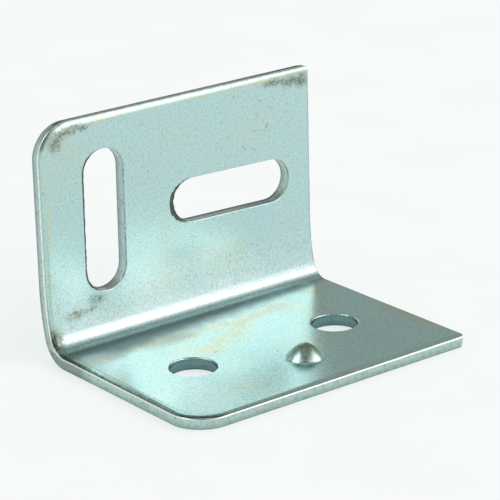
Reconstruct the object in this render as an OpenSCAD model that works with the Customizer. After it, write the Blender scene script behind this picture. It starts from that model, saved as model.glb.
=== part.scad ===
// Angle bracket, pressed and folded from one piece of steel sheet.
// The foot lies flat and the upright stands at its back. One end has rounded corners, and the other end
// is cropped nearly square. The inner face is the top of the foot and the front of the upright.
// The origin is on the underside, in the middle of the bracket's width and depth.

/* [Sheet] */
// Width of the bracket, along the fold
plate_w = 38; // [34:0.5:60]
// Depth of the foot, from the back of the upright to the front edge
foot_d = 28.6; // [26:0.1:45]
// Height of the upright, from the underside of the foot
upright_h = 27.4; // [26:0.1:45]
// Thickness of the sheet
sheet_t = 1.5; // [1.2:0.1:2]

/* [Fold] */
// Inside radius of the fold
fold_r = 2.1; // [1.5:0.1:3]
// Inside radius of the slow curve by which the upright leaves the fold
ease_r = 25; // [15:1:40]
// Angle that the slow curve turns through, of the right angle
ease_angle = 13; // [5:1:18]

/* [Outline] */
// Corner radius at the rounded end
round_r = 4.1; // [2.5:0.1:6]
// Corner radius at the cropped end
crop_r = 0.5; // [0.1:0.1:1.5]
// How far the rolled edge reaches in from the cut wall
roll_w = 0.9; // [0.6:0.1:1.5]
// How far the rolled edge falls away from the inner face
roll_drop = 0.4; // [0.2:0.05:0.6]

/* [Slots in the upright] */
// Width of both slots
slot_w = 5.2; // [4:0.1:6]
// Length of both slots, over their round ends
slot_l = 16.6; // [12:0.1:19]
// Middle of the tall slot, in from the rounded end
tall_slot_x = 8.4; // [6:0.1:9.5]
// Middle of the tall slot, up from the underside
tall_slot_z = 15.1; // [13:0.1:16.5]
// Turn of the tall slot from square
tall_slot_turn = -0.6; // [-3:0.1:3]
// Middle of the wide slot, in from the cropped end
wide_slot_x = 11.6; // [10:0.1:13]
// Middle of the wide slot, up from the underside
wide_slot_z = 14.6; // [12:0.1:22]
// Turn of the wide slot from square
wide_slot_turn = -1.5; // [-3:0.1:3]

/* [Screw holes in the foot] */
// Diameter of the screw holes
hole_d = 5.4; // [3.5:0.1:7]
// Distance between the two screw holes
hole_spacing = 20.2; // [14:0.1:24]
// Middle of the first screw hole, in from the rounded end
hole_x = 9.3; // [7:0.1:12]
// Middle of the screw holes, in from the back of the upright
hole_y = 15.9; // [10:0.1:20]

/* [Rims] */
// Break round the slots and screw holes, on the inner face
rim_break = 0.15; // [0.05:0.05:0.3]

/* [Pip] */
// Diameter of the pip that is pressed up out of the foot
pip_d = 4.5; // [3.5:0.1:5.5]
// Height of the pip above the foot
pip_h = 1.65; // [1.2:0.05:2.2]
// Radius of the pip's round tip
pip_tip_r = 1.3; // [0.8:0.1:1.6]
// Radius of the round-nosed punch that pressed the pip
punch_r = 1.3; // [0.8:0.1:1.5]
// Thickness of the metal that is left over the pip
pip_skin = 1; // [0.7:0.1:1.4]
// Middle of the pip, in from the rounded end
pip_x = 20.3; // [18:0.1:23]
// Middle of the pip, in from the front edge
pip_y = 6.8; // [5:0.1:10]

/* [Hidden] */
$fn = 64;

// How far a cut runs past the face that it opens
cut = 0.5;
// Step that the place of a joint in the sheet is first rounded to
joint_step = 0.01;
left = -plate_w / 2;
right = plate_w / 2;
front = -foot_d / 2;
back = foot_d / 2;

// The fold is two arcs in a row: the tight one leaves the foot, and the slow one meets the upright.
// The tight one runs on inside the slow one for half its angle, so that they join at any size.
fold_angle = 90 - ease_angle;
fold_run = fold_angle + ease_angle / 2;
ease_y = back - sheet_t - ease_r;
fold_y = ease_y + (ease_r - fold_r) * sin(fold_angle);
fold_z = sheet_t + fold_r;
ease_z = fold_z + (ease_r - fold_r) * cos(fold_angle);
fold_depth = back - fold_y;
foot_flat = fold_y - front;
upright_flat = upright_h - ease_z;

// The rolled edge is an arc that leaves the inner face without a break
roll_r = (roll_w ^ 2 + roll_drop ^ 2) / (2 * roll_drop);

// The pip's straight flank meets its round tip without a break
tip_z = pip_h - pip_tip_r;
flank_angle = atan2(tip_z, pip_d / 2) + asin(pip_tip_r / norm([pip_d / 2, tip_z]));
flank_top_r = pip_tip_r * sin(flank_angle);
flank_top_z = tip_z + pip_tip_r * cos(flank_angle);

// Moves a piece of the sheet to its joint by a round step and then the rest, so that the joints stay exact
module at(y, z) {
    round_y = round(y / joint_step) * joint_step;
    round_z = round(z / joint_step) * joint_step;
    translate([0, round_y, round_z]) translate([0, y - round_y, z - round_z]) children();
}

// Both legs are drawn flat, with X along the fold, Y from the fold to the free edge and Z from the outer face
module on_foot() {
    at(fold_y, 0) mirror([0, 1, 0]) children();
}

module on_upright() {
    at(back, ease_z) rotate([90, 0, 0]) children();
}

// Both arcs of the fold sweep a section that is drawn as its radius and its place along the fold
module on_fold() {
    at(fold_y, fold_z) rotate([90, 0, 90]) rotate_extrude(start = -90, angle = fold_run) children();
}

module on_ease() {
    at(ease_y, ease_z) rotate([90, 0, 90]) rotate_extrude(start = -ease_angle, angle = ease_angle) children();
}

module leg(length) {
    linear_extrude(sheet_t) difference() {
        translate([left, 0]) square([plate_w, length]);
        translate([left, length]) corner_waste(round_r);
        translate([right, length]) mirror([1, 0]) corner_waste(crop_r);
    }
}

// What rounding takes off a corner, with the corner at the origin and the sheet to the right and below
module corner_waste(radius) {
    difference() {
        translate([-cut, -radius]) square(radius + cut);
        translate([radius, -radius]) circle(radius);
    }
}

module fold_section(radius) {
    translate([radius, left]) square([sheet_t, plate_w]);
}

// The open space that the slow curve's inner face bounds
module ease_space() {
    translate([ease_r - cut, left - cut]) square([cut, plate_w + 2 * cut]);
}

// What rolling takes off an edge, with X in from the cut wall and Y up from the inner face
module roll_waste() {
    difference() {
        translate([-cut, -roll_r]) square([roll_w + cut, roll_r + cut]);
        translate([roll_w, -roll_r]) circle(roll_r);
    }
}

// Along the rounded end of a leg, round its corner and along its free edge. The straight cuts run on past the
// corner's ends, where the corner's own cut is deeper.
module leg_roll(length) {
    side_end = length - round_r;
    translate([left, side_end + cut, sheet_t])
        rotate([90, 0, 0]) linear_extrude(side_end + cut) roll_waste();
    translate([left + round_r, side_end, sheet_t])
        rotate([0, 0, 90]) rotate_extrude(angle = 90) translate([round_r, 0]) mirror([1, 0]) roll_waste();
    translate([right + cut, length, sheet_t])
        rotate([90, 0, -90]) linear_extrude(plate_w - round_r + 2 * cut) roll_waste();
}

module fold_roll(radius) {
    translate([radius, left]) rotate(90) roll_waste();
}

module sheet() {
    on_foot() leg(foot_flat);
    difference() {
        on_fold() fold_section(fold_r);
        on_ease() ease_space();
    }
    on_ease() fold_section(ease_r);
    on_upright() leg(upright_flat);
}

module rolled_edge() {
    on_foot() leg_roll(foot_flat);
    on_fold() fold_roll(fold_r);
    on_ease() fold_roll(ease_r);
    on_upright() leg_roll(upright_flat);
}

// What breaking the rim takes off, with the inner face at the origin and the sheet below. The slope runs on
// above the face, so that it still breaks a rim that lies on the slow curve.
module round_rim(d) {
    translate([0, 0, -rim_break]) cylinder(d1 = d, d2 = d + 2 * (rim_break + cut), h = rim_break + cut);
}

module straight_rim(length) {
    low = slot_w / 2;
    high = low + rim_break + cut;
    rotate([90, 0, 90]) translate([0, 0, -length / 2]) linear_extrude(length)
        polygon([[-low, -rim_break], [low, -rim_break], [high, cut], [-high, cut]]);
}

module slot(x, z, turn) {
    straight = slot_l - slot_w;
    translate([x, back, z]) rotate([90, 0, 0]) rotate([0, 0, turn]) {
        translate([0, 0, -cut]) linear_extrude(fold_depth + cut) {
            square([straight, slot_w], center = true);
            for (side = [-1, 1]) translate([side * straight / 2, 0]) circle(d = slot_w);
        }
        translate([0, 0, sheet_t]) {
            straight_rim(straight);
            for (side = [-1, 1]) translate([side * straight / 2, 0, 0]) round_rim(slot_w);
        }
    }
}

module screw_hole(x) {
    translate([x, back - hole_y, 0]) {
        translate([0, 0, -cut]) cylinder(d = hole_d, h = sheet_t + 2 * cut);
        translate([0, 0, sheet_t]) round_rim(hole_d);
    }
}

module on_pip() {
    translate([left + pip_x, front + pip_y, 0]) rotate_extrude() children();
}

module pip() {
    on_pip() translate([0, sheet_t]) {
        polygon([
            [0, -sheet_t / 2],
            [pip_d / 2, -sheet_t / 2],
            [pip_d / 2, 0],
            [flank_top_r, flank_top_z],
            [0, flank_top_z]
        ]);
        intersection() {
            translate([0, tip_z]) circle(pip_tip_r);
            square(pip_d);
        }
    }
}

// The hollow that the punch leaves under the pip
module pip_hollow() {
    nose_z = sheet_t + pip_h - pip_skin - punch_r;
    on_pip() {
        translate([0, -cut]) square([punch_r, nose_z + cut]);
        intersection() {
            translate([0, nose_z]) circle(punch_r);
            translate([0, nose_z]) square(punch_r);
        }
    }
}

module bracket() {
    color([0.72, 0.83, 0.8]) difference() {
        union() {
            sheet();
            pip();
        }
        rolled_edge();
        slot(left + tall_slot_x, tall_slot_z, tall_slot_turn + 90);
        slot(right - wide_slot_x, wide_slot_z, wide_slot_turn);
        screw_hole(left + hole_x);
        screw_hole(left + hole_x + hole_spacing);
        pip_hollow();
    }
}

bracket();
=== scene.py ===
"""Angle bracket of bright zinc-plated sheet: the finished look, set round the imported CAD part."""
import math

import bmesh
import bpy
from mathutils import Matrix, Vector, noise
from mathutils.geometry import delaunay_2d_cdt


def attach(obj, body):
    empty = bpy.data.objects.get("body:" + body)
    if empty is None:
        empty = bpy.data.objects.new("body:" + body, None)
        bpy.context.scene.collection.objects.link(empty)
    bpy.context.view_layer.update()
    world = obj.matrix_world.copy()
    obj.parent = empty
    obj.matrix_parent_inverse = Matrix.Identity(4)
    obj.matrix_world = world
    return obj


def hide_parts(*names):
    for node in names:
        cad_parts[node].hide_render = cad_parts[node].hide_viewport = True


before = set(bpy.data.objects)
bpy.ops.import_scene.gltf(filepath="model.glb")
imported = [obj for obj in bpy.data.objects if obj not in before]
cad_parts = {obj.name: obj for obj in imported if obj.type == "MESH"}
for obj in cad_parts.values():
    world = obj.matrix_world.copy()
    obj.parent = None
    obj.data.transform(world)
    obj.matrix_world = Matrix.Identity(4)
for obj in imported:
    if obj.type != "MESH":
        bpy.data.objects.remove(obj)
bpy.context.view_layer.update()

# The part's lengths are in millimetres up to its mesh. The mesh, the lights and the floor are in metres.
MM = 0.001

# The sheet, as in the part's source
HALF_W = 19.0
FRONT = -14.3
BACK = 14.3
TOP = 27.4
SHEET_T = 1.5
FOLD_R = 2.1
EASE_R = 25.0
EASE_ANGLE = math.radians(13)
ROUND_R = 4.1
CROP_R = 0.5
ROLL_W = 0.9
ROLL_DROP = 0.4

FOLD_ANGLE = math.pi / 2 - EASE_ANGLE
EASE_Y = BACK - SHEET_T - EASE_R
FOLD_Y = EASE_Y + (EASE_R - FOLD_R) * math.sin(FOLD_ANGLE)
FOLD_Z = SHEET_T + FOLD_R
EASE_Z = FOLD_Z + (EASE_R - FOLD_R) * math.cos(FOLD_ANGLE)

# Places along the inner face, measured up the sheet from the front edge of the foot
FOLD_START = FOLD_Y - FRONT
EASE_START = FOLD_START + FOLD_R * FOLD_ANGLE
UPRIGHT_START = EASE_START + EASE_R * EASE_ANGLE
SHEET_END = UPRIGHT_START + TOP - EASE_Z

# Holes and slots
HOLE_R = 2.7
HOLE_PLACES = [(-9.7, -1.6), (10.5, -1.6)]
SLOT_R = 2.6
SLOT_STRAIGHT = 11.4
# Middle, turn, and how much more the rim rolls on the side towards the rounded end
SLOT_PLACES = [(-10.6, 15.1, math.radians(89.4), 1.4), (7.4, 14.6, math.radians(-1.5), 4.0)]

# The pip and the punch's hollow under it
PIP_X = 1.3
PIP_Y = -7.5
PIP_R = 2.25
PIP_H = 1.65
PIP_SKIN = 1.0
PUNCH_R = 1.3
NOSE_Z = SHEET_T + PIP_H - PIP_SKIN - PUNCH_R
HOLLOW_MOUTH_R = PUNCH_R + 0.12
# The pip's flank swells a little, and it grows out of the foot by a small hollow curve
PIP_SWELL = 1.7
PIP_FOOT_R = PIP_R + 0.1

# Small breaks of the edges
CROP_BREAK = 0.1
EDGE_BREAK = 0.06
EDGE_DROP = 0.05
OUTER_BREAK = 0.05
# How far the torn half of the cut wall slopes in towards the outer face: at the front and top, at the rounded
# end, at the cropped end, and in the holes and slots
TEAR = 0.15
TEAR_ROUND = 0.04
TEAR_CROP = 0.06
TEAR_OPENING = 0.03
# The wall is smooth for this share of its height, and torn for the rest
SMOOTH_SHARE = 0.4
WALL_ROWS = (0.05, 0.16, 0.28, 0.38, 0.46, 0.54, 0.64, 0.76, 0.88, 0.96)
# The rolled rims of the holes and slots, and the furthest that one reaches
RIM_W = 0.15
RIM_DROP = 0.12
RIM_REACH = 1.2
# The rolled edge's share of its width on the foot, what the upright adds, and its taper along the bracket
ROLL_FOOT_W = 0.78
ROLL_UP_W = 0.07
ROLL_TAPER = 0.15
# The same for its drop
ROLL_FOOT_DROP = 0.68
ROLL_UP_DROP = 0.32
# Slow waves of the inner face, long and short, and of the outer face
LONG_WAVE = 0.011
SHORT_WAVE = 0.004
BACK_WAVE = 0.003
DEEPEST = 0.8

# Steps between rows of points: in the tight fold, in the slow curve and on the flats
FOLD_STEP = 0.13
EASE_STEP = 0.32
FLAT_STEP = 0.42
OUTER_STEP = 0.6
# How far the close rows run on past the fold, below it and above it
FOLD_BEFORE = 0.4
FOLD_AFTER = 0.5
# Close rows at the cropped corners, and the room that they take
CROP_STEP = 0.08
CROP_STEPS = 13
CROP_CLEAR = 1.15
# Room left between the rings at an edge and the points that fill a face, and how close two points may lie
FILL_CLEAR = 0.14
MERGE = 1e-5

# How far the rubbed plating and the painted edge highlight reach in from an edge and from a rim, and how much as
# strongly on the outer face
RUB_AND_HIGHLIGHT_EDGE = 0.4
RUB_AND_HIGHLIGHT_RIM = 0.34
OUTER_RUB_AND_HIGHLIGHT = 0.8


def section(s):
    """(y, z, angle) of the inner face at place s up the sheet."""
    if s <= FOLD_START:
        return FRONT + s, SHEET_T, 0.0
    if s <= EASE_START:
        a = (s - FOLD_START) / FOLD_R
        return FOLD_Y + FOLD_R * math.sin(a), FOLD_Z - FOLD_R * math.cos(a), a
    if s <= UPRIGHT_START:
        a = FOLD_ANGLE + (s - EASE_START) / EASE_R
        return EASE_Y + EASE_R * math.sin(a), EASE_Z - EASE_R * math.cos(a), a
    return BACK - SHEET_T, EASE_Z + s - UPRIGHT_START, math.pi / 2


def place(x, s, depth):
    """The point at depth below the inner face."""
    y, z, a = section(s)
    return Vector((x, y + depth * math.sin(a), z - depth * math.cos(a)))


def height_to_s(z, radius):
    """Place up the sheet of height z on the upright, on the face with that radius in the slow curve."""
    if z >= EASE_Z:
        return UPRIGHT_START + z - EASE_Z
    return EASE_START + (math.acos((EASE_Z - z) / radius) - FOLD_ANGLE) * EASE_R


def arc_fall(inset, width, drop):
    """Fall of an edge that is rounded over that width, at this distance in from it."""
    if inset >= width:
        return 0.0
    radius = (width ** 2 + drop ** 2) / (2 * drop)
    reach = width - max(inset, 0.0)
    return radius - math.sqrt(max(radius ** 2 - reach ** 2, 0.0))


def ripple(x, s, pitch, seed):
    return noise.noise(Vector((x / pitch, s / pitch, seed)))


def roll_inset(x, s):
    """Distance in from the rolled edge: the front, the rounded end and the top."""
    corner_x = -HALF_W + ROUND_R
    if x < corner_x and s < ROUND_R:
        return ROUND_R - math.hypot(x - corner_x, s - ROUND_R)
    if x < corner_x and s > SHEET_END - ROUND_R:
        return ROUND_R - math.hypot(x - corner_x, s - SHEET_END + ROUND_R)
    return min(x + HALF_W, s, SHEET_END - s)


def crop_inset(x, s):
    """Distance in from the cropped end."""
    corner_x = HALF_W - CROP_R
    if x > corner_x and s < CROP_R:
        return CROP_R - math.hypot(x - corner_x, s - CROP_R)
    if x > corner_x and s > SHEET_END - CROP_R:
        return CROP_R - math.hypot(x - corner_x, s - SHEET_END + CROP_R)
    return HALF_W - x


def bell(value, middle, width):
    return math.exp(-((value - middle) / width) ** 2)


def ease(value, low, high):
    share = max(0.0, min(1.0, (value - low) / (high - low)))
    return share * share * (3 - 2 * share)


def roll_size(x, s):
    """Width and drop of the rolled edge: less on the foot, and less towards the cropped end."""
    up = ease(s, FOLD_START - 3, UPRIGHT_START + 3)
    uneven = 1 + 0.07 * ripple(x, s, 2.3, 3.1) + 0.04 * ripple(x, s, 0.7, 8.7)
    width = ROLL_W * (ROLL_FOOT_W + ROLL_UP_W * up) * (1 - ROLL_TAPER * x / HALF_W)
    drop = (ROLL_DROP - EDGE_DROP / 2) * (ROLL_FOOT_DROP + ROLL_UP_DROP * up)
    return width * uneven, drop * uneven


class Outline:
    """The edge of the sheet. Every ring of it has the same number of points."""

    def __init__(self, rows):
        front_n = 110
        corner_n = 30
        crop_n = 9
        steps = [i / front_n for i in range(front_n + 1)]
        self.points = [("front", u) for u in steps]
        self.points += [("front_round", i / corner_n) for i in range(1, corner_n)]
        self.points += [("left", s) for s in [ROUND_R] + [
            s for s in rows if ROUND_R + 0.1 < s < SHEET_END - ROUND_R - 0.1] + [SHEET_END - ROUND_R]]
        self.points += [("top_round", i / corner_n) for i in range(1, corner_n)]
        self.points += [("top", u) for u in steps]
        self.points += [("top_crop", i / crop_n) for i in range(1, crop_n)]
        ends = [CROP_STEP * i for i in range(1, CROP_STEPS + 1)]
        low, high = CROP_R, SHEET_END - CROP_R
        crop_rows = [low] + [low + e for e in ends] + [
            s for s in rows if low + CROP_CLEAR < s < high - CROP_CLEAR] + [
            high - e for e in reversed(ends)] + [high]
        self.points += [("right", (s - low) / (high - low)) for s in reversed(crop_rows)]
        self.points += [("front_crop", i / crop_n) for i in range(1, crop_n)]
        self.count = len(self.points)

    def at(self, i, inset, crop_inset=None):
        """(x, s) of point i, moved in by inset, or by crop_inset at the cropped end."""
        a = inset
        b = inset if crop_inset is None else crop_inset
        kind, u = self.points[i]
        corner_x = -HALF_W + ROUND_R
        crop_x = HALF_W - b - CROP_R
        if kind == "front":
            return crop_x + (corner_x - crop_x) * u, a
        if kind == "top":
            return corner_x + (crop_x - corner_x) * u, SHEET_END - a
        if kind == "left":
            return -HALF_W + a, u
        if kind == "right":
            low = a + CROP_R
            return HALF_W - b, low + (SHEET_END - 2 * low) * u
        turn = u * math.pi / 2
        if kind == "front_round":
            r = ROUND_R - a
            return corner_x - r * math.sin(turn), ROUND_R - r * math.cos(turn)
        if kind == "top_round":
            r = ROUND_R - a
            return corner_x - r * math.cos(turn), SHEET_END - ROUND_R + r * math.sin(turn)
        if kind == "top_crop":
            return crop_x + CROP_R * math.sin(turn), SHEET_END - a - CROP_R + CROP_R * math.cos(turn)
        return crop_x + CROP_R * math.cos(turn), a + CROP_R - CROP_R * math.sin(turn)

    def torn(self, i, inset, share):
        """The same, with that share of the slope of the torn wall as well."""
        kind, u = self.points[i]
        slope = TEAR
        if kind == "left":
            slope = TEAR_ROUND
        elif kind == "front_round":
            slope = TEAR + (TEAR_ROUND - TEAR) * u
        elif kind == "top_round":
            slope = TEAR_ROUND + (TEAR - TEAR_ROUND) * u
        return self.at(i, inset + share * slope, inset + share * TEAR_CROP)

    def s_of(self, t, outer):
        return t


class Opening:
    """A hole or slot through the sheet."""

    def torn(self, i, inset, share):
        return self.at(i, inset + share * TEAR_OPENING)


class Hole(Opening):
    """A round hole in the foot."""
    count = 112

    def __init__(self, x, y):
        self.x = x
        self.s = y - FRONT
        self.seed = x

    def at(self, i, inset):
        turn = 2 * math.pi * i / self.count
        r = HOLE_R + inset
        return self.x + r * math.cos(turn), self.s + r * math.sin(turn)

    def s_of(self, t, outer):
        return t

    def away(self, x, s, outer=False):
        """(distance out from the rim, direction in x, direction up the sheet) of a point on the sheet."""
        dx, ds = x - self.x, s - self.s
        far = math.hypot(dx, ds)
        return far - HOLE_R, dx / max(far, 1e-6), ds / max(far, 1e-6)

    def rim(self, side):
        return RIM_W, RIM_DROP

    def dark(self, side, up):
        return 0.15 + 0.15 * max(up, 0.0)

    def bright(self, side, up):
        return 0.8 + 0.4 * max(-up, -side, 0.0)

    def shade(self, side, up):
        return 1.0


class Slot(Opening):
    """A slot with round ends in the upright. It is drawn in x and height, because it goes straight through."""
    end_n = 52
    side_n = 56

    def __init__(self, x, z, turn, more):
        self.x = x
        self.z = z
        self.more = more
        self.axis = (math.cos(turn), math.sin(turn))
        self.count = 2 * (self.end_n + self.side_n)
        self.seed = x

    def at(self, i, inset):
        r = SLOT_R + inset
        half = SLOT_STRAIGHT / 2
        side, j = divmod(i, self.end_n + self.side_n)
        if j < self.end_n:
            turn = -math.pi / 2 + math.pi * j / self.end_n
            along, across = half + r * math.cos(turn), r * math.sin(turn)
        else:
            along, across = half - SLOT_STRAIGHT * (j - self.end_n) / self.side_n, r
        if side:
            along, across = -along, -across
        ax, az = self.axis
        return self.x + along * ax - across * az, self.z + along * az + across * ax

    def s_of(self, t, outer):
        return height_to_s(t, EASE_R + SHEET_T if outer else EASE_R)

    def away(self, x, s, outer=False):
        dx, dz = x - self.x, place(x, s, SHEET_T if outer else 0.0).z - self.z
        ax, az = self.axis
        along = dx * ax + dz * az
        along -= max(-SLOT_STRAIGHT / 2, min(SLOT_STRAIGHT / 2, along))
        across = -dx * az + dz * ax
        far = math.hypot(along, across)
        side, up = (along * ax - across * az), (along * az + across * ax)
        return far - SLOT_R, side / max(far, 1e-6), up / max(far, 1e-6)

    def rim(self, side):
        more = self.more * max(-side, 0.0) ** 2
        return RIM_W * (1 + more), RIM_DROP * (1 + 0.62 * more)

    # How dark the rim is painted, partly dirt and partly painted shade, darkest on the left rims
    def dark(self, side, up):
        return 0.25 + max(-side, 0.0) * (1.2 + 0.3 * up) + 0.3 * max(side, 0.0)

    def bright(self, side, up):
        return 0.1 + 0.6 * max(-up, 0.0) + 0.85 * max(up, 0.0) + 0.75 * max(side, 0.0)

    # Painted shade of the slot's wall, darkest on its bottom wall, which faces up
    def shade(self, side, up):
        return 0.04 + 0.76 * max(-up, 0.0) ** 4


class PipRing:
    """The circle where the pip, or its hollow, meets the foot."""
    count = 84

    def __init__(self, radius):
        self.x = PIP_X
        self.s = PIP_Y - FRONT
        self.radius = radius

    def at(self, i, inset):
        turn = 2 * math.pi * i / self.count
        r = self.radius + inset
        return self.x + r * math.cos(turn), self.s + r * math.sin(turn)

    def s_of(self, t, outer):
        return t

    def away(self, x, s, outer=False):
        return math.hypot(x - self.x, s - self.s) - self.radius, 0.0, 0.0


def sheet_rows():
    """Places up the sheet for rows of points: close together in the fold."""
    rows = []
    s = 0.0
    while s < SHEET_END:
        rows.append(s)
        if FOLD_START - FOLD_BEFORE < s < EASE_START + FOLD_AFTER:
            s += FOLD_STEP
        elif FOLD_START < s < UPRIGHT_START + FOLD_AFTER:
            s += EASE_STEP
        else:
            s += FLAT_STEP
    return rows


ROWS = sheet_rows()
OUTLINE = Outline(ROWS)
OPENINGS = [Hole(x, y) for x, y in HOLE_PLACES] + [Slot(*place_of) for place_of in SLOT_PLACES]


def inner_depth(x, s):
    """How far the finished inner face lies below the true plane of the sheet."""
    inset = roll_inset(x, s)
    depth = arc_fall(inset, *roll_size(x, s)) + arc_fall(inset, EDGE_BREAK, EDGE_DROP)
    depth += arc_fall(crop_inset(x, s), CROP_BREAK, CROP_BREAK)
    for opening in OPENINGS:
        away, side, up = opening.away(x, s)
        if away < RIM_REACH:
            width, drop = opening.rim(side)
            jag = 1 + 0.35 * ripple(x, s, 0.9, opening.seed) + 0.4 * ripple(x, s, 0.35, opening.seed + 5)
            depth += arc_fall(away, width * jag, drop * jag)
    depth += LONG_WAVE * (1 + ripple(x, s, 7.0, 1.7)) + SHORT_WAVE * (1 + ripple(x, s, 2.6, 5.3))
    return min(depth, DEEPEST)


def outer_depth(x, s, near):
    """How deep the finished outer face lies, so near to the edge. It never stands out of the true back."""
    for opening in OPENINGS:
        near = min(near, opening.away(x, s, True)[0])
    jag = 1 + 0.3 * ripple(x, s, 0.8, 11.3)
    fall = arc_fall(near, OUTER_BREAK * jag, OUTER_BREAK * jag)
    return SHEET_T - fall - BACK_WAVE * (1 + ripple(x, s, 6.0, 9.2))


class Skin:
    """Gathers the mesh: points in millimetres, faces, and what each point is for the material."""

    def __init__(self):
        self.points = []
        self.faces = []
        self.edge = []
        self.wall = []
        self.grime_and_shade = []
        self.bore_shade = []
        self.fringe = []

    def add(self, point, edge=0.0, wall=0.0, grime_and_shade=0.0, bore_shade=0.0, fringe=0.0):
        self.points.append(point)
        self.edge.append(edge)
        self.wall.append(wall)
        self.grime_and_shade.append(grime_and_shade)
        self.bore_shade.append(bore_shade)
        self.fringe.append(fringe)
        return len(self.points) - 1

    def strip(self, a, b):
        n = len(a)
        for i in range(n):
            j = (i + 1) % n
            self.faces.append((a[i], a[j], b[j], b[i]))

    def fan(self, ring, tip):
        n = len(ring)
        for i in range(n):
            self.faces.append((ring[i], ring[(i + 1) % n], tip))


skin = Skin()


def nearness(x, s):
    """1 at an edge or a rim, with rubbed plating and a painted highlight, falling to 0 further in."""
    near = min(roll_inset(x, s), crop_inset(x, s))
    most = 1 - max(near, 0.0) / RUB_AND_HIGHLIGHT_EDGE
    for opening in OPENINGS:
        away, side, up = opening.away(x, s)
        most = max(most, opening.bright(side, up) * (1 - max(away, 0.0) / RUB_AND_HIGHLIGHT_RIM))
    return max(most, 0.0)


def rim_grime_and_shade(x, s):
    """Dark rims of the openings, the foot of the pip, and two dark lines along the rounded end: partly dirt and
    partly painted shade.
    """
    most = 0.0
    for opening in OPENINGS:
        away, side, up = opening.away(x, s)
        width = opening.rim(side)[0]
        if away < 1.1 * width:
            most = max(most, opening.dark(side, up) * (1 - 0.3 * away / width))
    inset = roll_inset(x, s)
    if inset < 1.4 and (x < -12 or s < 3):
        share = max(min(1.0, (-12 - x) / 4), 0.55 * (1 - ease(s, 2, 3)))
        foot = 1 - ease(s, FOLD_START, UPRIGHT_START)
        width = roll_size(x, s)[0]
        most = max(most, share * (0.5 * bell(inset, 0.17, 0.06) + 0.55 * foot * bell(inset, 0.38, 0.27)
                                  + 0.55 * foot * bell(inset, width + 0.1, 0.12)))
    pip = math.hypot(x - PIP_X, s - PIP_Y + FRONT) - PIP_FOOT_R
    return max(most, 0.5 * bell(pip, 0.0, 0.08))


def edge_fringe(x, s):
    """Where the plating is stained along the inner border of the rolled edge."""
    return bell(roll_inset(x, s), 0.95 * roll_size(x, s)[0], 0.2)


def on_inner(x, s, near=1.0):
    """A new point of the inner face. It is placed alike however near to the edge it is."""
    return skin.add(place(x, s, inner_depth(x, s)), edge=nearness(x, s), grime_and_shade=rim_grime_and_shade(x, s),
                    fringe=edge_fringe(x, s))


def on_outer(x, s, near=1.0):
    """A new point of the outer face."""
    return skin.add(place(x, s, outer_depth(x, s, near)), edge=OUTER_RUB_AND_HIGHLIGHT * nearness(x, s))


def face_rings(loop, insets, outer, crop_insets=None):
    """Rings of points from an edge into the face. Returns them with their flat places."""
    put = on_outer if outer else on_inner
    rings = []
    flats = []
    for k, inset in enumerate(insets):
        flat = []
        for i in range(loop.count):
            if crop_insets:
                x, t = loop.at(i, inset, crop_insets[k])
            elif loop is OUTLINE:
                x, t = loop.torn(i, inset, 1.0)
            else:
                x, t = loop.at(i, inset)
            flat.append((x, loop.s_of(t, outer)))
        flats.append(flat)
        near = inset if loop is OUTLINE else 1.0
        rings.append([put(x, s, near) for x, s in flat])
    for a, b in zip(rings, rings[1:]):
        skin.strip(a, b)
    return rings, flats


def fill_face(loops, step, outer, inside):
    """Fills the flat part of a face between the last rings of its edges."""
    put = on_outer if outer else on_inner
    flat = []
    index = []
    edges = []
    for ring, places in loops:
        base = len(flat)
        n = len(ring)
        flat += places
        index += ring
        edges += [(base + i, base + (i + 1) % n) for i in range(n)]
    columns = int(round(2 * HALF_W / step))
    for r, s in enumerate(ROWS):
        for c in range(columns + 1):
            x = -HALF_W + 2 * HALF_W * (c + 0.5 * (r % 2)) / columns
            if inside(x, s, FILL_CLEAR):
                flat.append((x, s))
                index.append(None)
    out = delaunay_2d_cdt([Vector(p) for p in flat], edges, [], 0, MERGE)
    places, faces, origins = out[0], out[2], out[3]
    names = []
    for p, origin in zip(places, origins):
        known = index[origin[0]] if origin else None
        names.append(known if known is not None else -1)
    for face in faces:
        x = sum(places[v].x for v in face) / len(face)
        s = sum(places[v].y for v in face) / len(face)
        if not inside(x, s, 0.0):
            continue
        for v in face:
            if names[v] < 0:
                names[v] = put(places[v].x, places[v].y)
        skin.faces.append(tuple(names[v] for v in face))


def wall_rings(loop, inner_ring, outer_ring, seed):
    """The sheared wall between the faces: a smooth band, then a rougher one that breaks back a little."""
    rows = [inner_ring]
    for t in WALL_ROWS:
        back = max(0.0, (t - SMOOTH_SHARE) / (1 - SMOOTH_SHARE))
        ring = []
        for i in range(loop.count):
            x, s = edge_place(loop, i)
            bore_shade = 0.0 if loop is OUTLINE else loop.shade(*loop.away(x, s)[1:])
            shift = 0.05 * ripple(x, s, 3.1, seed) * (1 if SMOOTH_SHARE < t < 0.7 else 0)
            coarse = min(1.0, max(0.0, (t - SMOOTH_SHARE) / 0.2))
            rough = 0.02 * coarse * (1 + ripple(x, s + 9 * t, 0.55, seed + 2))
            x, u = loop.torn(i, rough if t < 0.9 else 0.0, back)
            low = place(x, loop.s_of(u, False), inner_depth(*edge_place(loop, i)))
            high = place(x, loop.s_of(u, True), SHEET_T - OUTER_BREAK)
            ring.append(skin.add(low.lerp(high, t + shift), edge=max(0.0, 0.9 - t / 0.12) if bore_shade == 0 else 0.0,
                                 wall=0.3 + 0.7 * t, bore_shade=bore_shade))
        rows.append(ring)
    rows.append(outer_ring)
    for a, b in zip(rows, rows[1:]):
        skin.strip(a, b)


def edge_place(loop, i):
    x, u = loop.at(i, 0.0)
    return x, loop.s_of(u, False)


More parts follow.
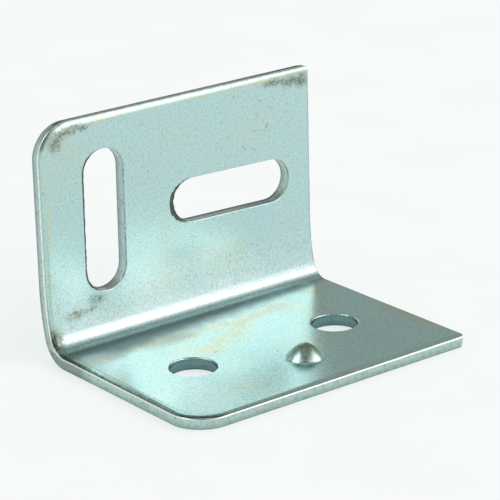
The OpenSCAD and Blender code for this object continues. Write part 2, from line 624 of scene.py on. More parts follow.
def build_faces():
    pip_foot = PipRing(PIP_FOOT_R)
    hollow_mouth = PipRing(HOLLOW_MOUTH_R)
    inner_rows = [0.0, 0.012, 0.03, 0.055, 0.085, 0.12, 0.17, 0.24, 0.33, 0.43, 0.54, 0.66, 0.78, 0.91, 1.06]
    crop_rows = [0.0, 0.008, 0.018, 0.03, 0.043, 0.057, 0.072, 0.088, 0.105, 0.13, 0.17, 0.22, 0.28, 0.35, 0.43]
    rim_rows = [0.0, 0.03, 0.065, 0.105, 0.15, 0.21, 0.29, 0.4, 0.54, 0.7, 0.9]
    outer_rows = [0.0, 0.02, 0.045, 0.08, 0.13, 0.22]
    pip_rows = [0.0, 0.1]
    hollow_rows = [0.0, 0.06]

    def inside(loops, last, outer):
        def test(x, s, spare):
            if spare and (roll_inset(x, s) < last[0] + spare or crop_inset(x, s) < last[1] + spare):
                return False
            return all(loop.away(x, s, outer)[0] > gap + spare for loop, gap in loops)
        return test

    inner_edge, inner_flat = face_rings(OUTLINE, inner_rows, False, crop_rows)
    outer_edge, outer_flat = face_rings(OUTLINE, outer_rows, True)
    wall_rings(OUTLINE, inner_edge[0], outer_edge[0], 0.4)
    inner_loops = [(inner_edge[-1], inner_flat[-1])]
    outer_loops = [(outer_edge[-1], outer_flat[-1])]
    inner_gaps = []
    outer_gaps = []
    for opening in OPENINGS:
        rings, flats = face_rings(opening, rim_rows, False)
        inner_loops.append((rings[-1], flats[-1]))
        inner_gaps.append((opening, rim_rows[-1]))
        backs, back_flats = face_rings(opening, outer_rows, True)
        outer_loops.append((backs[-1], back_flats[-1]))
        outer_gaps.append((opening, outer_rows[-1]))
        wall_rings(opening, rings[0], backs[0], opening.seed)

    rings, flats = face_rings(pip_foot, pip_rows, False)
    inner_loops.append((rings[-1], flats[-1]))
    inner_gaps.append((pip_foot, pip_rows[-1]))
    build_pip(rings[0])
    rings, flats = face_rings(hollow_mouth, hollow_rows, True)
    outer_loops.append((rings[-1], flats[-1]))
    outer_gaps.append((hollow_mouth, hollow_rows[-1]))
    build_hollow(rings[0])

    fill_face(inner_loops, FLAT_STEP, False, inside(inner_gaps, (inner_rows[-1], crop_rows[-1]), False))
    outer_last = (outer_rows[-1] + TEAR, outer_rows[-1] + TEAR_CROP)
    fill_face(outer_loops, OUTER_STEP, True, inside(outer_gaps, outer_last, True))


def lathe(base_ring, profile, tip_z):
    """Rings round the pip's axis, from a ring that is already in the face to a tip."""
    rings = [base_ring]
    for r, z in profile:
        ring = []
        for i in range(PipRing.count):
            turn = 2 * math.pi * i / PipRing.count
            grow = 1 + 0.006 * noise.noise(Vector((math.cos(turn) * 1.5, math.sin(turn) * 1.5, z)))
            x, y = PIP_X + r * grow * math.cos(turn), PIP_Y + r * grow * math.sin(turn)
            ring.append(skin.add(Vector((x, y, z))))
        rings.append(ring)
    for a, b in zip(rings, rings[1:]):
        skin.strip(a, b)
    skin.fan(rings[-1], skin.add(Vector((PIP_X, PIP_Y, tip_z))))


def build_pip(ring):
    profile = [(PIP_R + 0.05, SHEET_T + 0.01), (PIP_R, SHEET_T + 0.03)]
    flank_n = 24
    for i in range(1, flank_n):
        share = 1 - i / flank_n
        profile.append((PIP_R * share, SHEET_T + PIP_H * (1 - share ** PIP_SWELL)))
    lathe(ring, profile, SHEET_T + PIP_H)


def build_hollow(ring):
    profile = [(PUNCH_R + 0.05, 0.03), (PUNCH_R, 0.12), (PUNCH_R, NOSE_Z)]
    nose_n = 14
    for i in range(1, nose_n):
        turn = math.pi / 2 * (1 - i / nose_n)
        profile.append((PUNCH_R * math.sin(turn), NOSE_Z + PUNCH_R * math.cos(turn)))
    lathe(ring, profile, NOSE_Z + PUNCH_R)


def make_bracket():
    build_faces()
    mesh = bpy.data.meshes.new("bracket_plated")
    mesh.from_pydata([p * MM for p in skin.points], [], skin.faces)
    for name, values in (("edge", skin.edge), ("wall", skin.wall), ("grime_and_shade", skin.grime_and_shade),
                         ("bore_shade", skin.bore_shade), ("fringe", skin.fringe)):
        mesh.attributes.new(name, "FLOAT", "POINT").data.foreach_set("value", values)
    work = bmesh.new()
    work.from_mesh(mesh)
    bmesh.ops.recalc_face_normals(work, faces=work.faces)
    open_edges = sum(1 for e in work.edges if len(e.link_faces) != 2)
    print("bracket: %d points, %d faces, %d open edges" % (len(work.verts), len(work.faces), open_edges))
    for face in work.faces:
        face.smooth = True
    work.to_mesh(mesh)
    work.free()
    piece = bpy.data.objects.new("bracket_plated", mesh)
    bpy.context.scene.collection.objects.link(piece)
    return piece


class Tree:
    """Short hand for building a material's nodes."""

    def __init__(self, tree):
        self.tree = tree
        tree.nodes.clear()

    def node(self, kind, **settings):
        made = self.tree.nodes.new("ShaderNode" + kind)
        for key, value in settings.items():
            setattr(made, key, value)
        return made

    def put(self, value, socket):
        if isinstance(value, bpy.types.NodeSocket):
            self.tree.links.new(value, socket)
        elif value is not None:
            socket.default_value = value

    def math(self, how, a, b=None, clamp=False):
        made = self.node("Math", operation=how, use_clamp=clamp)
        self.put(a, made.inputs[0])
        self.put(b, made.inputs[1])
        return made.outputs[0]

    def vector(self, how, a, b=None, scale=None):
        made = self.node("VectorMath", operation=how)
        self.put(a, made.inputs[0])
        self.put(b, made.inputs[1])
        if scale is not None:
            made.inputs["Scale"].default_value = scale
        return made.outputs["Value" if how == "LENGTH" else "Vector"]

    def noise(self, where, scale, detail=2.0, rough=0.5, out="Fac"):
        made = self.node("TexNoise")
        self.put(where, made.inputs["Vector"])
        self.put(scale, made.inputs["Scale"])
        self.put(detail, made.inputs["Detail"])
        self.put(rough, made.inputs["Roughness"])
        return made.outputs[out]

    def span(self, value, low, high, to_low=0.0, to_high=1.0, smooth=True):
        made = self.node("MapRange", interpolation_type="SMOOTHSTEP" if smooth else "LINEAR")
        for socket, number in zip(made.inputs, (value, low, high, to_low, to_high)):
            self.put(number, socket)
        return made.outputs[0]

    def mix(self, fac, a, b, how="MIX"):
        made = self.node("Mix", data_type="RGBA", blend_type=how)
        self.put(fac, made.inputs[0])
        self.put(a if isinstance(a, bpy.types.NodeSocket) else (*a, 1.0), made.inputs[6])
        self.put(b if isinstance(b, bpy.types.NodeSocket) else (*b, 1.0), made.inputs[7])
        return made.outputs[2]

    def ramp(self, value, stops):
        made = self.node("ValToRGB")
        line = made.color_ramp
        line.interpolation = "EASE"
        while len(line.elements) < len(stops):
            line.elements.new(0.5)
        for element, (at, colour) in zip(line.elements, stops):
            element.position = at
            element.color = (*colour, 1.0)
        self.put(value, made.inputs[0])
        return made.outputs[0]

    def blob(self, where, middle, reach):
        """1 in the middle of a soft patch and 0 outside its reach."""
        off = self.vector("DIVIDE", self.vector("SUBTRACT", where, middle), reach)
        return self.span(self.vector("LENGTH", off), 0.15, 1.0, 1.0, 0.0)

    def total(self, terms, how="ADD"):
        result = terms[0]
        for term in terms[1:]:
            result = self.math(how, result, term)
        return result

    def most(self, terms):
        return self.total(terms, "MAXIMUM")


def zinc_material():
    material = bpy.data.materials.new("zinc_plate")
    material.use_nodes = True
    t = Tree(material.node_tree)
    where = t.vector("SCALE", t.node("TexCoord").outputs["Object"], scale=1 / MM)
    parts = t.node("SeparateXYZ")
    t.put(where, parts.inputs[0])
    edge = t.node("Attribute", attribute_name="edge").outputs["Fac"]
    wall = t.node("Attribute", attribute_name="wall").outputs["Fac"]
    grime_and_shade = t.node("Attribute", attribute_name="grime_and_shade").outputs["Fac"]
    bore_shade = t.node("Attribute", attribute_name="bore_shade").outputs["Fac"]
    fringe = t.node("Attribute", attribute_name="fringe").outputs["Fac"]

    cloud = t.noise(where, 0.13, 3.0, 0.55)
    drift = t.noise(where, 0.42, 3.0, 0.6)
    grain = t.noise(where, 3.2, 4.0, 0.7)
    dust = t.noise(where, 8.0, 2.0, 0.6)

    def bent(scale, amount, detail):
        shift = t.vector("SUBTRACT", t.noise(where, scale, detail, 0.55, "Color"), (0.5, 0.5, 0.5))
        return t.vector("ADD", where, t.vector("SCALE", shift, scale=amount))

    soft = bent(0.2, 2.2, 2.0)
    ragged = bent(2.2, 1.6, 3.0)
    wavy = bent(0.9, 0.4, 2.0)

    # The clear film over the zinc: its thickness gives the faint colour bands
    film = t.total([t.math("MULTIPLY", cloud, 0.5), t.math("MULTIPLY", t.math("SUBTRACT", drift, 0.5), 0.28)] + [
        t.math("MULTIPLY", t.blob(soft, middle, reach), amount) for middle, reach, amount in FILM_PATCHES])
    colour = t.ramp(film, [
        (0.0, (0.51, 0.77, 0.80)), (0.25, (0.55, 0.785, 0.765)), (0.42, (0.58, 0.765, 0.705)),
        (0.58, (0.625, 0.735, 0.60)), (0.72, (0.585, 0.665, 0.575)), (0.86, (0.54, 0.635, 0.635)),
        (1.0, (0.51, 0.68, 0.72))])
    # Painted highlights: lighter patches on the fold's bright band and above it, on the lower upright and on the
    # foot's left, in place of reflected light
    pale = t.most([t.math("MULTIPLY", t.blob(soft, middle, reach), amount) for middle, reach, amount in (
        ((-15.5, 12.8, 8.5), (4.5, 4.0, 5.0), 0.6), ((-14.5, -8.0, 1.5), (5.5, 6.0, 4.0), 0.5),
        ((-6.4, -4.2, 1.5), (5.0, 4.0, 4.0), 0.4),
        ((-12.0, 12.5, 4.6), (7.0, 3.0, 2.2), 0.3), ((10.0, 12.4, 5.2), (8.0, 3.0, 2.0), 0.25),
        ((-5.0, 12.8, 8.0), (14.0, 4.0, 6.5), 0.32), ((0.0, 11.8, 3.2), (28.0, 2.6, 2.4), 0.5))])
    colour = t.mix(pale, colour, (0.70, 0.89, 0.89))

    # Painted shade along the inside corner of the fold, further out towards the rounded end; the same band is also
    # made rougher
    crease_shade_from = t.math("ADD", t.math("MULTIPLY", parts.outputs["X"], 0.12), 6.5)
    uneven_y = t.math("ADD", parts.outputs["Y"], t.math("MULTIPLY", t.math("SUBTRACT", drift, 0.5), 2.0))
    crease_shade_and_dull = t.span(t.math("SUBTRACT", uneven_y, crease_shade_from), 0.0, 3.4)
    crease_shade_and_dull = t.math("MAXIMUM", crease_shade_and_dull, t.math("MULTIPLY", t.blob(soft, (-7.0, 7.0, 1.5), (6.5, 2.8, 3.0)), 0.5))
    crease_shade_and_dull = t.math("MULTIPLY", crease_shade_and_dull, t.span(t.blob(soft, (-16.4, 7.4, 1.5), (4.2, 2.4, 3.0)), 0.0, 1.0, 1.0, 0.55))
    crease_shade_and_dull = t.math("MULTIPLY", crease_shade_and_dull, t.span(parts.outputs["Z"], 1.51, 1.62, 1.0, 0.18))
    colour = t.mix(t.math("MULTIPLY", crease_shade_and_dull, 0.84), colour, (0.18, 0.235, 0.25))

    # Sandy grain of the plating
    colour = t.mix(1.0, colour, t.ramp(grain, [(0.28, (0.72, 0.73, 0.70)), (0.5, (0.98, 0.98, 0.98)),
                                               (0.72, (1.10, 1.10, 1.11))]), "MULTIPLY")
    specks = t.span(dust, 0.67, 0.76)
    colour = t.mix(t.math("MULTIPLY", specks, 0.34), colour, (0.24, 0.28, 0.23))

    # Handling marks: grey-brown smudges near the top corners, ochre at the end of the fold
    smudges = t.total([t.blob(ragged, middle, reach) for middle, reach in (
        ((-16.9, 12.8, 25.2), (1.3, 2.0, 1.5)), ((-15.7, 12.8, 26.2), (1.6, 2.0, 0.9)),
        ((-13.6, 12.8, 26.4), (2.2, 2.0, 0.7)), ((13.6, 12.8, 26.35), (2.3, 2.0, 0.7)),
        ((16.2, 12.8, 26.1), (2.3, 2.0, 1.1)), ((18.0, 12.8, 25.9), (1.4, 2.0, 1.5)),
        ((-12.4, 12.6, 6.1), (1.6, 2.0, 0.9)))])
    smudge = t.math("MULTIPLY", smudges, t.span(grain, 0.38, 0.54), clamp=True)
    colour = t.mix(t.math("MULTIPLY", smudge, 0.85), colour, (0.16, 0.18, 0.12))
    ochres = t.total([t.blob(ragged, middle, reach) for middle, reach in (
        ((-15.4, 12.3, 5.0), (1.9, 2.0, 0.9)), ((-13.2, 12.3, 5.1), (1.4, 2.0, 0.6)),
        ((-18.4, 11.2, 3.0), (0.9, 2.5, 1.6)))])
    ochre = t.math("MULTIPLY", ochres, t.span(grain, 0.38, 0.56), clamp=True)
    colour = t.mix(t.math("MULTIPLY", ochre, 0.75), colour, (0.23, 0.24, 0.12))
    # Painted shade: a near-black patch on the rolled edge at the left end of the fold
    fold_end_shade = t.blob(ragged, (-18.3, 11.8, 2.9), (1.2, 1.8, 2.0))
    fold_end_shade = t.math("MULTIPLY", fold_end_shade, t.span(grain, 0.34, 0.54, 0.6, 1.0))
    colour = t.mix(t.math("MULTIPLY", fold_end_shade, 0.85), colour, (0.05, 0.07, 0.05))

    # Hairline scratches, most of them on the upright's right: two ends, half width and depth
    def hairline(start, end, width, depth, upright):
        (x0, v0), (x1, v1) = start, end
        line = t.node("Mapping", vector_type="TEXTURE")
        t.put(wavy, line.inputs["Vector"])
        middle, half = ((x0 + x1) / 2, (v0 + v1) / 2), math.hypot(x1 - x0, v1 - v0) / 2 + width
        turn = math.atan2(v1 - v0, x1 - x0)
        if upright:
            line.inputs["Location"].default_value = (middle[0], 0.0, middle[1])
            line.inputs["Rotation"].default_value = (0.0, -turn, 0.0)
            line.inputs["Scale"].default_value = (half, 1.0, width)
        else:
            line.inputs["Location"].default_value = (middle[0], middle[1], 0.0)
            line.inputs["Rotation"].default_value = (0.0, 0.0, turn)
            line.inputs["Scale"].default_value = (half, width, 1.0)
        flat = t.vector("MULTIPLY", line.outputs[0], (1.0, 0.0, 1.0) if upright else (1.0, 1.0, 0.0))
        return t.span(t.vector("LENGTH", flat), 0.4, 1.0, depth, 0.0)

    upright_marks = t.total([hairline(*mark, True) for mark in UPRIGHT_SCRATCHES])
    foot_marks = t.total([hairline(*mark, False) for mark in FOOT_SCRATCHES])
    scratch = t.math("ADD", t.math("MULTIPLY", upright_marks, t.span(parts.outputs["Y"], 13.4, 13.6, 1.0, 0.0)),
                     t.math("MULTIPLY", foot_marks, t.span(parts.outputs["Z"], 1.2, 1.4)), clamp=True)
    colour = t.mix(t.math("MULTIPLY", scratch, t.span(grain, 0.3, 0.5, 0.45, 0.9)), colour, (0.17, 0.22, 0.19))

    # Stain along the rolled edge's inner border
    stain = t.math("MULTIPLY", fringe, t.span(t.math("ADD", drift, t.math("MULTIPLY", grain, 0.5)), 0.55, 0.95))
    colour = t.mix(t.math("MULTIPLY", stain, 0.85), colour, (0.58, 0.64, 0.40))
    crop_line = t.span(parts.outputs["X"], 18.72, 18.94)
    colour = t.mix(t.math("MULTIPLY", crop_line, t.span(drift, 0.3, 0.6, 0.45, 0.85)), colour, (0.22, 0.29, 0.22))

    # Edges: brighter and creamier in an uneven line, partly rubbed plating and partly a painted highlight
    rub_and_highlight = t.span(t.math("ADD", edge, t.math("MULTIPLY", t.math("SUBTRACT", grain, 0.5), 0.9)), 0.66, 1.0)
    colour = t.mix(t.math("MULTIPLY", rub_and_highlight, 0.85), colour, (0.96, 0.96, 0.80))

    # The sheared wall: a smooth band, then a rougher and darker one; the darkening is partly the cut steel's own
    # colour and partly painted shade for the shadowed floor it reflects
    sheared = t.span(wall, 0.2, 0.4)
    torn = t.span(t.math("ADD", wall, t.math("MULTIPLY", t.math("SUBTRACT", drift, 0.5), 0.5)), 0.6, 0.7)
    colour = t.mix(t.math("MULTIPLY", sheared, 0.45), colour, (0.33, 0.43, 0.40))
    colour = t.mix(t.math("MULTIPLY", torn, 0.4), colour, (0.30, 0.40, 0.36))
    streak = t.noise(where, 1.9, 4.0, 0.65)
    colour = t.mix(t.math("MULTIPLY", sheared, t.span(streak, 0.52, 0.66, 0.0, 0.45)), colour, (0.56, 0.58, 0.47))
    colour = t.mix(t.math("MULTIPLY", sheared, t.span(streak, 0.34, 0.48, 0.5, 0.0)), colour, (0.19, 0.25, 0.22))
    # Painted shade along the wall's edge at the outer face, which on the foot is the contact line with the floor
    colour = t.mix(t.math("MULTIPLY", t.span(wall, 0.86, 0.97), 0.6), colour, (0.12, 0.17, 0.15))
    # Painted shade: the upright's top wall, which faces up, darkened nearly to black
    top_wall_shade = t.math("MULTIPLY", sheared, t.span(parts.outputs["Z"], 26.9, 27.25))
    colour = t.mix(t.math("MULTIPLY", top_wall_shade, 0.85), colour, (0.045, 0.065, 0.048))
    # Painted shade on the pip: darker and olive, most at its top, for the dark surroundings it reflects
    pip_top = t.blob(where, (PIP_X, PIP_Y, SHEET_T + 1.2), (3.0, 3.0, 1.4))
    pip_top = t.math("MULTIPLY", pip_top, t.span(parts.outputs["Z"], SHEET_T, SHEET_T + 0.15))
    pip_painted_shade = t.math("MULTIPLY", pip_top, t.span(grain, 0.35, 0.62, 0.92, 0.6))
    colour = t.mix(pip_painted_shade, colour, (0.15, 0.19, 0.095))

    # Painted shade on the walls of the holes and slots, darkest in the holes and on the slots' bottom walls, for
    # the shadowed floor and dark overhead they reflect; and dark rims, partly dirt and partly painted shade
    bore_shade_colour = t.mix(t.span(bore_shade, 0.85, 0.98), (0.12, 0.16, 0.14), (0.075, 0.185, 0.20))
    colour = t.mix(t.math("MULTIPLY", bore_shade, 0.78), colour, bore_shade_colour)
    dark = t.span(t.math("ADD", grime_and_shade, t.math("MULTIPLY", t.math("SUBTRACT", grain, 0.5), 1.1)), 0.25, 0.8)
    colour = t.mix(t.math("MULTIPLY", dark, 0.9), colour, (0.03, 0.05, 0.038))

    rough = t.total([t.math("MULTIPLY", drift, 0.10), t.math("MULTIPLY", grain, 0.12),
                     t.math("MULTIPLY", torn, 0.14), t.math("MULTIPLY", sheared, 0.04),
                     t.math("MULTIPLY", crease_shade_and_dull, 0.16),
                     t.math("MULTIPLY", smudge, 0.22), t.math("MULTIPLY", ochre, 0.22),
                     t.math("MULTIPLY", pip_top, 0.12), 0.12])
    metal = t.math("SUBTRACT", 1.0, t.math("MULTIPLY", t.math("ADD", smudge, ochre), 0.12), clamp=True)

    height = t.total([t.math("MULTIPLY", grain, 0.6), t.math("MULTIPLY", dust, 0.3),
                      t.math("MULTIPLY", scratch, -0.7), t.math("MULTIPLY", torn, t.math("MULTIPLY", grain, 2.0))])
    bump = t.node("Bump")
    bump.inputs["Strength"].default_value = 0.3
    bump.inputs["Distance"].default_value = 0.03 * MM
    t.put(height, bump.inputs["Height"])

    shader = t.node("BsdfPrincipled")
    t.put(colour, shader.inputs["Base Color"])
    t.put(rough, shader.inputs["Roughness"])
    t.put(metal, shader.inputs["Metallic"])
    t.put(bump.outputs[0], shader.inputs["Normal"])
    t.put(shader.outputs[0], t.node("OutputMaterial").inputs["Surface"])
    return material


def glow_material(name, colour, strength, first=None):
    """Plain light for a card. A first reflection shows the colour first instead, where it is given."""
    material = bpy.data.materials.new(name)
    material.use_nodes = True
    t = Tree(material.node_tree)
    glow = t.node("Emission")
    glow.inputs["Color"].default_value = (*colour, 1.0)
    if first:
        twice = t.math("GREATER_THAN", t.node("LightPath").outputs["Glossy Depth"], 1.5)
        t.put(t.mix(twice, first, colour), glow.inputs["Color"])
    glow.inputs["Strength"].default_value = strength
    t.put(glow.outputs[0], t.node("OutputMaterial").inputs["Surface"])
    material.cycles.emission_sampling = "NONE"
    return material


# Where the clear film is thicker: middle, reach and amount
FILM_PATCHES = [
    ((1.9, 4.9, 1.5), (3.4, 2.3, 1.6), 0.36),
    ((5.6, 6.0, 1.5), (4.2, 2.1, 1.6), 0.42),
    ((9.5, 6.6, 1.5), (3.6, 2.3, 1.6), 0.45),
    ((0.2, 6.9, 1.5), (3.2, 1.7, 1.6), 0.42),
    ((-5.0, 1.3, 1.5), (4.4, 2.8, 1.6), 0.38),
    ((-4.7, 6.6, 1.5), (4.2, 2.1, 1.6), 0.44),
    ((-9.6, 7.0, 1.5), (4.6, 1.9, 1.6), 0.48),
    ((-15.8, 7.3, 1.5), (3.8, 2.0, 1.6), 0.50),
    ((10.4, 3.6, 1.5), (3.6, 2.6, 1.6), 0.30),
    ((-1.0, 2.4, 1.5), (4.0, 2.6, 1.6), 0.28),
    ((5.6, -4.4, 1.5), (4.6, 2.6, 1.6), 0.16),
    ((6.0, 12.8, 7.0), (9.0, 1.6, 3.4), 0.13),
    ((9.6, 12.8, 21.4), (7.0, 1.6, 4.2), 0.16),
    ((-15.2, 12.8, 24.2), (3.0, 1.6, 2.2), 0.16),
    ((-4.0, 12.8, 14.0), (5.0, 1.6, 4.0), 0.08),
    ((-4.0, 12.8, 5.4), (5.0, 1.6, 1.6), 0.16),
    ((-9.0, -10.0, 1.5), (5.5, 3.0, 1.6), 0.18),
    ((15.5, 8.0, 2.0), (4.4, 4.0, 1.6), 0.40),
    ((18.4, -4.0, 1.5), (2.0, 9.0, 1.6), 0.36),
]
# Two ends on the face, half width and depth: (x, height) on the upright, (x, y) on the foot
UPRIGHT_SCRATCHES = [
    ((7.8, 25.6), (8.1, 25.9), 0.10, 0.7), ((9.3, 25.8), (9.9, 26.1), 0.06, 0.6),
    ((11.0, 24.9), (12.2, 24.2), 0.08, 0.7), ((11.1, 23.3), (11.5, 22.6), 0.07, 0.6),
    ((12.0, 22.3), (12.4, 21.7), 0.05, 0.5), ((12.8, 21.8), (12.4, 21.0), 0.09, 0.95),
    ((14.9, 20.7), (17.1, 21.6), 0.06, 0.55), ((9.6, 21.4), (14.6, 20.3), 0.05, 0.4),
    ((15.6, 23.5), (16.0, 23.2), 0.07, 0.7), ((15.7, 22.5), (15.7, 22.3), 0.09, 0.8),
    ((13.4, 24.8), (14.1, 24.2), 0.06, 0.5), ((12.3, 23.9), (13.9, 23.1), 0.05, 0.55),
    ((10.6, 26.8), (11.5, 26.3), 0.07, 0.6), ((8.9, 19.8), (9.5, 19.0), 0.08, 0.8),
    ((10.1, 19.3), (11.1, 18.5), 0.06, 0.7), ((6.8, 20.9), (7.1, 21.1), 0.10, 0.6),
    ((6.3, 20.4), (5.6, 19.3), 0.05, 0.4), ((6.3, 19.6), (6.8, 18.3), 0.05, 0.45),
    ((6.1, 23.1), (6.1, 22.9), 0.10, 0.7), ((-1.2, 24.4), (-3.1, 21.0), 0.06, 0.3),
    ((-1.7, 25.6), (-2.8, 21.6), 0.06, 0.25), ((-5.7, 25.0), (-4.6, 25.1), 0.14, 0.35),
    ((-4.2, 15.3), (-5.9, 14.7), 0.05, 0.35), ((-16.7, 10.8), (-16.3, 11.2), 0.08, 0.6),
    ((-17.1, 8.6), (-15.6, 7.2), 0.05, 0.4), ((-12.6, 6.0), (-11.3, 6.2), 0.10, 0.5),
    ((0.7, 10.5), (2.2, 9.9), 0.06, 0.4),
]
FOOT_SCRATCHES = [
    ((0.3, -3.6), (0.0, -4.5), 0.10, 0.8), ((-5.6, 0.1), (-4.9, 0.3), 0.12, 0.8),
    ((0.7, -4.3), (2.2, -4.1), 0.06, 0.5), ((-4.0, -0.9), (-1.3, -1.0), 0.06, 0.35),
    ((-10.6, 3.3), (-9.0, 4.3), 0.07, 0.4), ((-11.9, -6.6), (-9.8, -6.6), 0.06, 0.3),
    ((7.0, -9.5), (12.5, -6.8), 0.05, 0.3), ((13.0, -10.4), (16.2, -11.6), 0.05, 0.35),
]


def floor_material():
    """Pale floor that stays near white to the camera and in the metal, and keeps a soft shadow."""
    material = bpy.data.materials.new("floor_pale")
    material.use_nodes = True
    t = Tree(material.node_tree)
    where = t.node("TexCoord").outputs["Object"]
    tone = t.ramp(t.noise(where, 60.0, 3.0), [(0.3, (0.40, 0.40, 0.40)), (0.7, (0.42, 0.42, 0.42))])
    matt = t.node("BsdfDiffuse")
    t.put(tone, matt.inputs["Color"])
    lift = t.node("Emission")
    lift.inputs["Color"].default_value = (0.94, 1.0, 0.99, 1.0)
    path = t.node("LightPath")
    seen = t.math("MAXIMUM", path.outputs["Is Camera Ray"],
                  t.math("MAXIMUM", path.outputs["Is Glossy Ray"], path.outputs["Is Transmission Ray"]))
    t.put(t.math("MULTIPLY", seen, FLOOR_LIFT), lift.inputs["Strength"])
    both = t.node("AddShader")
    t.put(matt.outputs[0], both.inputs[0])
    t.put(lift.outputs[0], both.inputs[1])
    clear = t.node("BsdfTransparent")
    under = t.node("MixShader")
    t.put(t.node("NewGeometry").outputs["Backfacing"], under.inputs[0])
    t.put(both.outputs[0], under.inputs[1])
    t.put(clear.outputs[0], under.inputs[2])
    t.put(under.outputs[0], t.node("OutputMaterial").inputs["Surface"])
    return material


# What the camera and reflections see of the floor on top of its own light, and the world's light on the part
FLOOR_LIFT = 0.645
WORLD_LIGHT = 0.85
FLOOR_HALF = 3.0
# The cards round the part, by distance and glow: grey and dark flags, the card overhead and the bright card
FLAG_DISTANCE = 1.1
FLAG_GLOW = 0.375
FLAG_DARK = 0.18
ZENITH_GLOW = 0.68
CARD_DISTANCE = 0.9
CARD_GLOW = 2.6
# The lamp: width and height, distance, azimuth and elevation
SOFTBOX_SIZE = (0.62, 0.29)
SOFTBOX_DISTANCE = 0.6
SOFTBOX_PLACE = (41, 35.5)
SOFTBOX_STRENGTH = 1.55
SOFTBOX_COLOUR = (1.0, 0.735, 0.755)
# The two cards under the lamp: elevations, then the azimuths of their ends and of where they meet
LOW_CARDS = (4, 22)
LOW_LEFT = 14
LOW_SPLIT = 36.5
LOW_RIGHT = 68
CORNER_GLOW = (2.22, 1.9, 1.92)
ROOM_WHITE = (1.0, 1.0, 1.0)
# The card behind the part, in millimetres: left, right, low, high and how far back
BEHIND_EDGES = (-70.0, 46.0, 1.0, 45.0)
BEHIND_Y = 60.0
BEHIND_GLOW = 0.9


def direction(azimuth, elevation):
    """Unit vector towards a place round the part: azimuth 0 is the front, 90 the right."""
    a, e = math.radians(azimuth), math.radians(elevation)
    return Vector((math.sin(a) * math.cos(e), -math.cos(a) * math.cos(e), math.sin(e)))


def make_floor():
    mesh = bpy.data.meshes.new("floor")
    h = FLOOR_HALF
    mesh.from_pydata([(-h, -h, 0), (h, -h, 0), (h, h, 0), (-h, h, 0)], [], [(0, 1, 2, 3)])
    mesh.materials.append(floor_material())
    floor = bpy.data.objects.new("floor", mesh)
    bpy.context.scene.collection.objects.link(floor)


def make_flag(name, azimuths, elevations, material, distance):
    """A curved card round the part, seen only in its reflections."""
    across, up = 24, 12
    points = []
    for j in range(up + 1):
        for i in range(across + 1):
            azimuth = azimuths[0] + (azimuths[1] - azimuths[0]) * i / across
            elevation = elevations[0] + (elevations[1] - elevations[0]) * j / up
            points.append(direction(azimuth, elevation) * distance)
    row = across + 1
    faces = [(j * row + i, j * row + i + 1, (j + 1) * row + i + 1, (j + 1) * row + i)
             for j in range(up) for i in range(across)]
    make_card(name, points, faces, material)


def make_card(name, points, faces, material):
    mesh = bpy.data.meshes.new(name)
    mesh.from_pydata(points, [], faces)
    mesh.materials.append(material)
    flag = bpy.data.objects.new(name, mesh)
    bpy.context.scene.collection.objects.link(flag)
    flag.visible_camera = False
    flag.visible_diffuse = False
    flag.visible_shadow = False


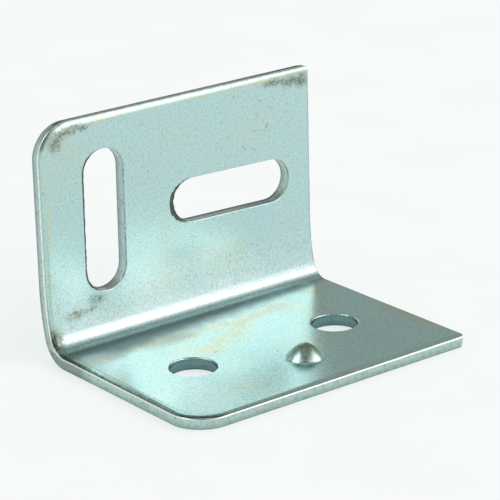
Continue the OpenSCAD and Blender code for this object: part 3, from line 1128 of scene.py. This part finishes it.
def make_light():
    box = bpy.data.lights.new("softbox", "AREA")
    box.shape = "RECTANGLE"
    box.size, box.size_y = SOFTBOX_SIZE
    box.color = SOFTBOX_COLOUR
    box.energy = SOFTBOX_STRENGTH * math.pi * box.size * box.size_y
    lamp = bpy.data.objects.new("softbox", box)
    bpy.context.scene.collection.objects.link(lamp)
    towards = direction(*SOFTBOX_PLACE)
    lamp.location = towards * SOFTBOX_DISTANCE
    lamp.rotation_euler = towards.to_track_quat("Z", "Y").to_euler()
    grey = glow_material("flag_grey", (0.95, 1.0, 0.97), FLAG_GLOW)
    make_flag("flag_back", (82, 215), (4, 58), grey, FLAG_DISTANCE)
    dark = glow_material("flag_dark", (0.95, 1.0, 0.94), FLAG_DARK)
    make_flag("flag_top", (-180, 180), (58, 76), dark, FLAG_DISTANCE)
    pale = glow_material("card_pale", (0.97, 1.0, 0.99), ZENITH_GLOW)
    make_flag("card_top", (-180, 180), (76, 90), pale, FLAG_DISTANCE)
    make_flag("flag_front", (-58, -14), (9, 58), dark, FLAG_DISTANCE)
    white = glow_material("card_bright", (1.0, 1.0, 0.98), CARD_GLOW)
    make_flag("card_left", (-128, -92), (42, 64), white, CARD_DISTANCE)
    # Under the lamp, two cards: the right one is no brighter than the room in a first reflection
    # and brighter in a second one, so that the inside corner is lit and the foot has less glare from behind
    lit = glow_material("card_lit", CORNER_GLOW, 1.0)
    make_flag("card_low_left", (LOW_LEFT, LOW_SPLIT), LOW_CARDS, lit, CARD_DISTANCE)
    corner = glow_material("card_corner", CORNER_GLOW, 1.0, ROOM_WHITE)
    make_flag("card_low_right", (LOW_SPLIT, LOW_RIGHT), LOW_CARDS, corner, CARD_DISTANCE)
    # A low white card behind the part, which the foot shows through the slots
    left, right, low, high = (length * MM for length in BEHIND_EDGES)
    behind = BEHIND_Y * MM
    corners = [(left, behind, low), (right, behind, low), (right, behind, high), (left, behind, high)]
    make_card("card_behind", corners, [(0, 1, 2, 3)], glow_material("card_white", (0.97, 1.0, 0.99), BEHIND_GLOW))

    world = bpy.data.worlds.new("studio")
    bpy.context.scene.world = world
    world.use_nodes = True
    t = Tree(world.node_tree)
    sky = t.node("Background")
    path = t.node("LightPath")
    seen = t.math("MAXIMUM", path.outputs["Is Camera Ray"],
                  t.math("MAXIMUM", path.outputs["Is Glossy Ray"], path.outputs["Is Transmission Ray"]))
    t.put(t.span(seen, 0.0, 1.0, WORLD_LIGHT, 1.0, False), sky.inputs["Strength"])
    t.put(sky.outputs[0], t.node("OutputWorld").inputs["Surface"])


# The camera, fitted to the photo's view: place in millimetres, and its right, down and forward directions
CAMERA_PLACE = Vector((-155.782, -201.414, 102.396))
CAMERA_RIGHT = Vector((0.78586858, -0.61792162, -0.02415473))
CAMERA_DOWN = Vector((-0.22405453, -0.24810982, -0.94246543))
CAMERA_AHEAD = Vector((0.57637674, 0.74606594, -0.33342985))
SENSOR_WIDTH = 36.0
FOCAL_LENGTH = 175.31


def make_camera():
    lens = bpy.data.cameras.new("camera")
    lens.sensor_width = SENSOR_WIDTH
    lens.lens = FOCAL_LENGTH
    lens.clip_start = 0.01
    camera = bpy.data.objects.new("camera", lens)
    turn = Matrix((CAMERA_RIGHT, -CAMERA_DOWN, -CAMERA_AHEAD)).transposed().to_4x4()
    camera.matrix_world = Matrix.Translation(CAMERA_PLACE * MM) @ turn
    bpy.context.scene.collection.objects.link(camera)
    bpy.context.scene.camera = camera


bpy.context.scene.view_settings.view_transform = "Standard"
make_camera()
make_light()
make_floor()
bracket = make_bracket()
bracket.data.materials.append(zinc_material())
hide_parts("bracket")
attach(bracket, "root")

bpy.context.view_layer.update()
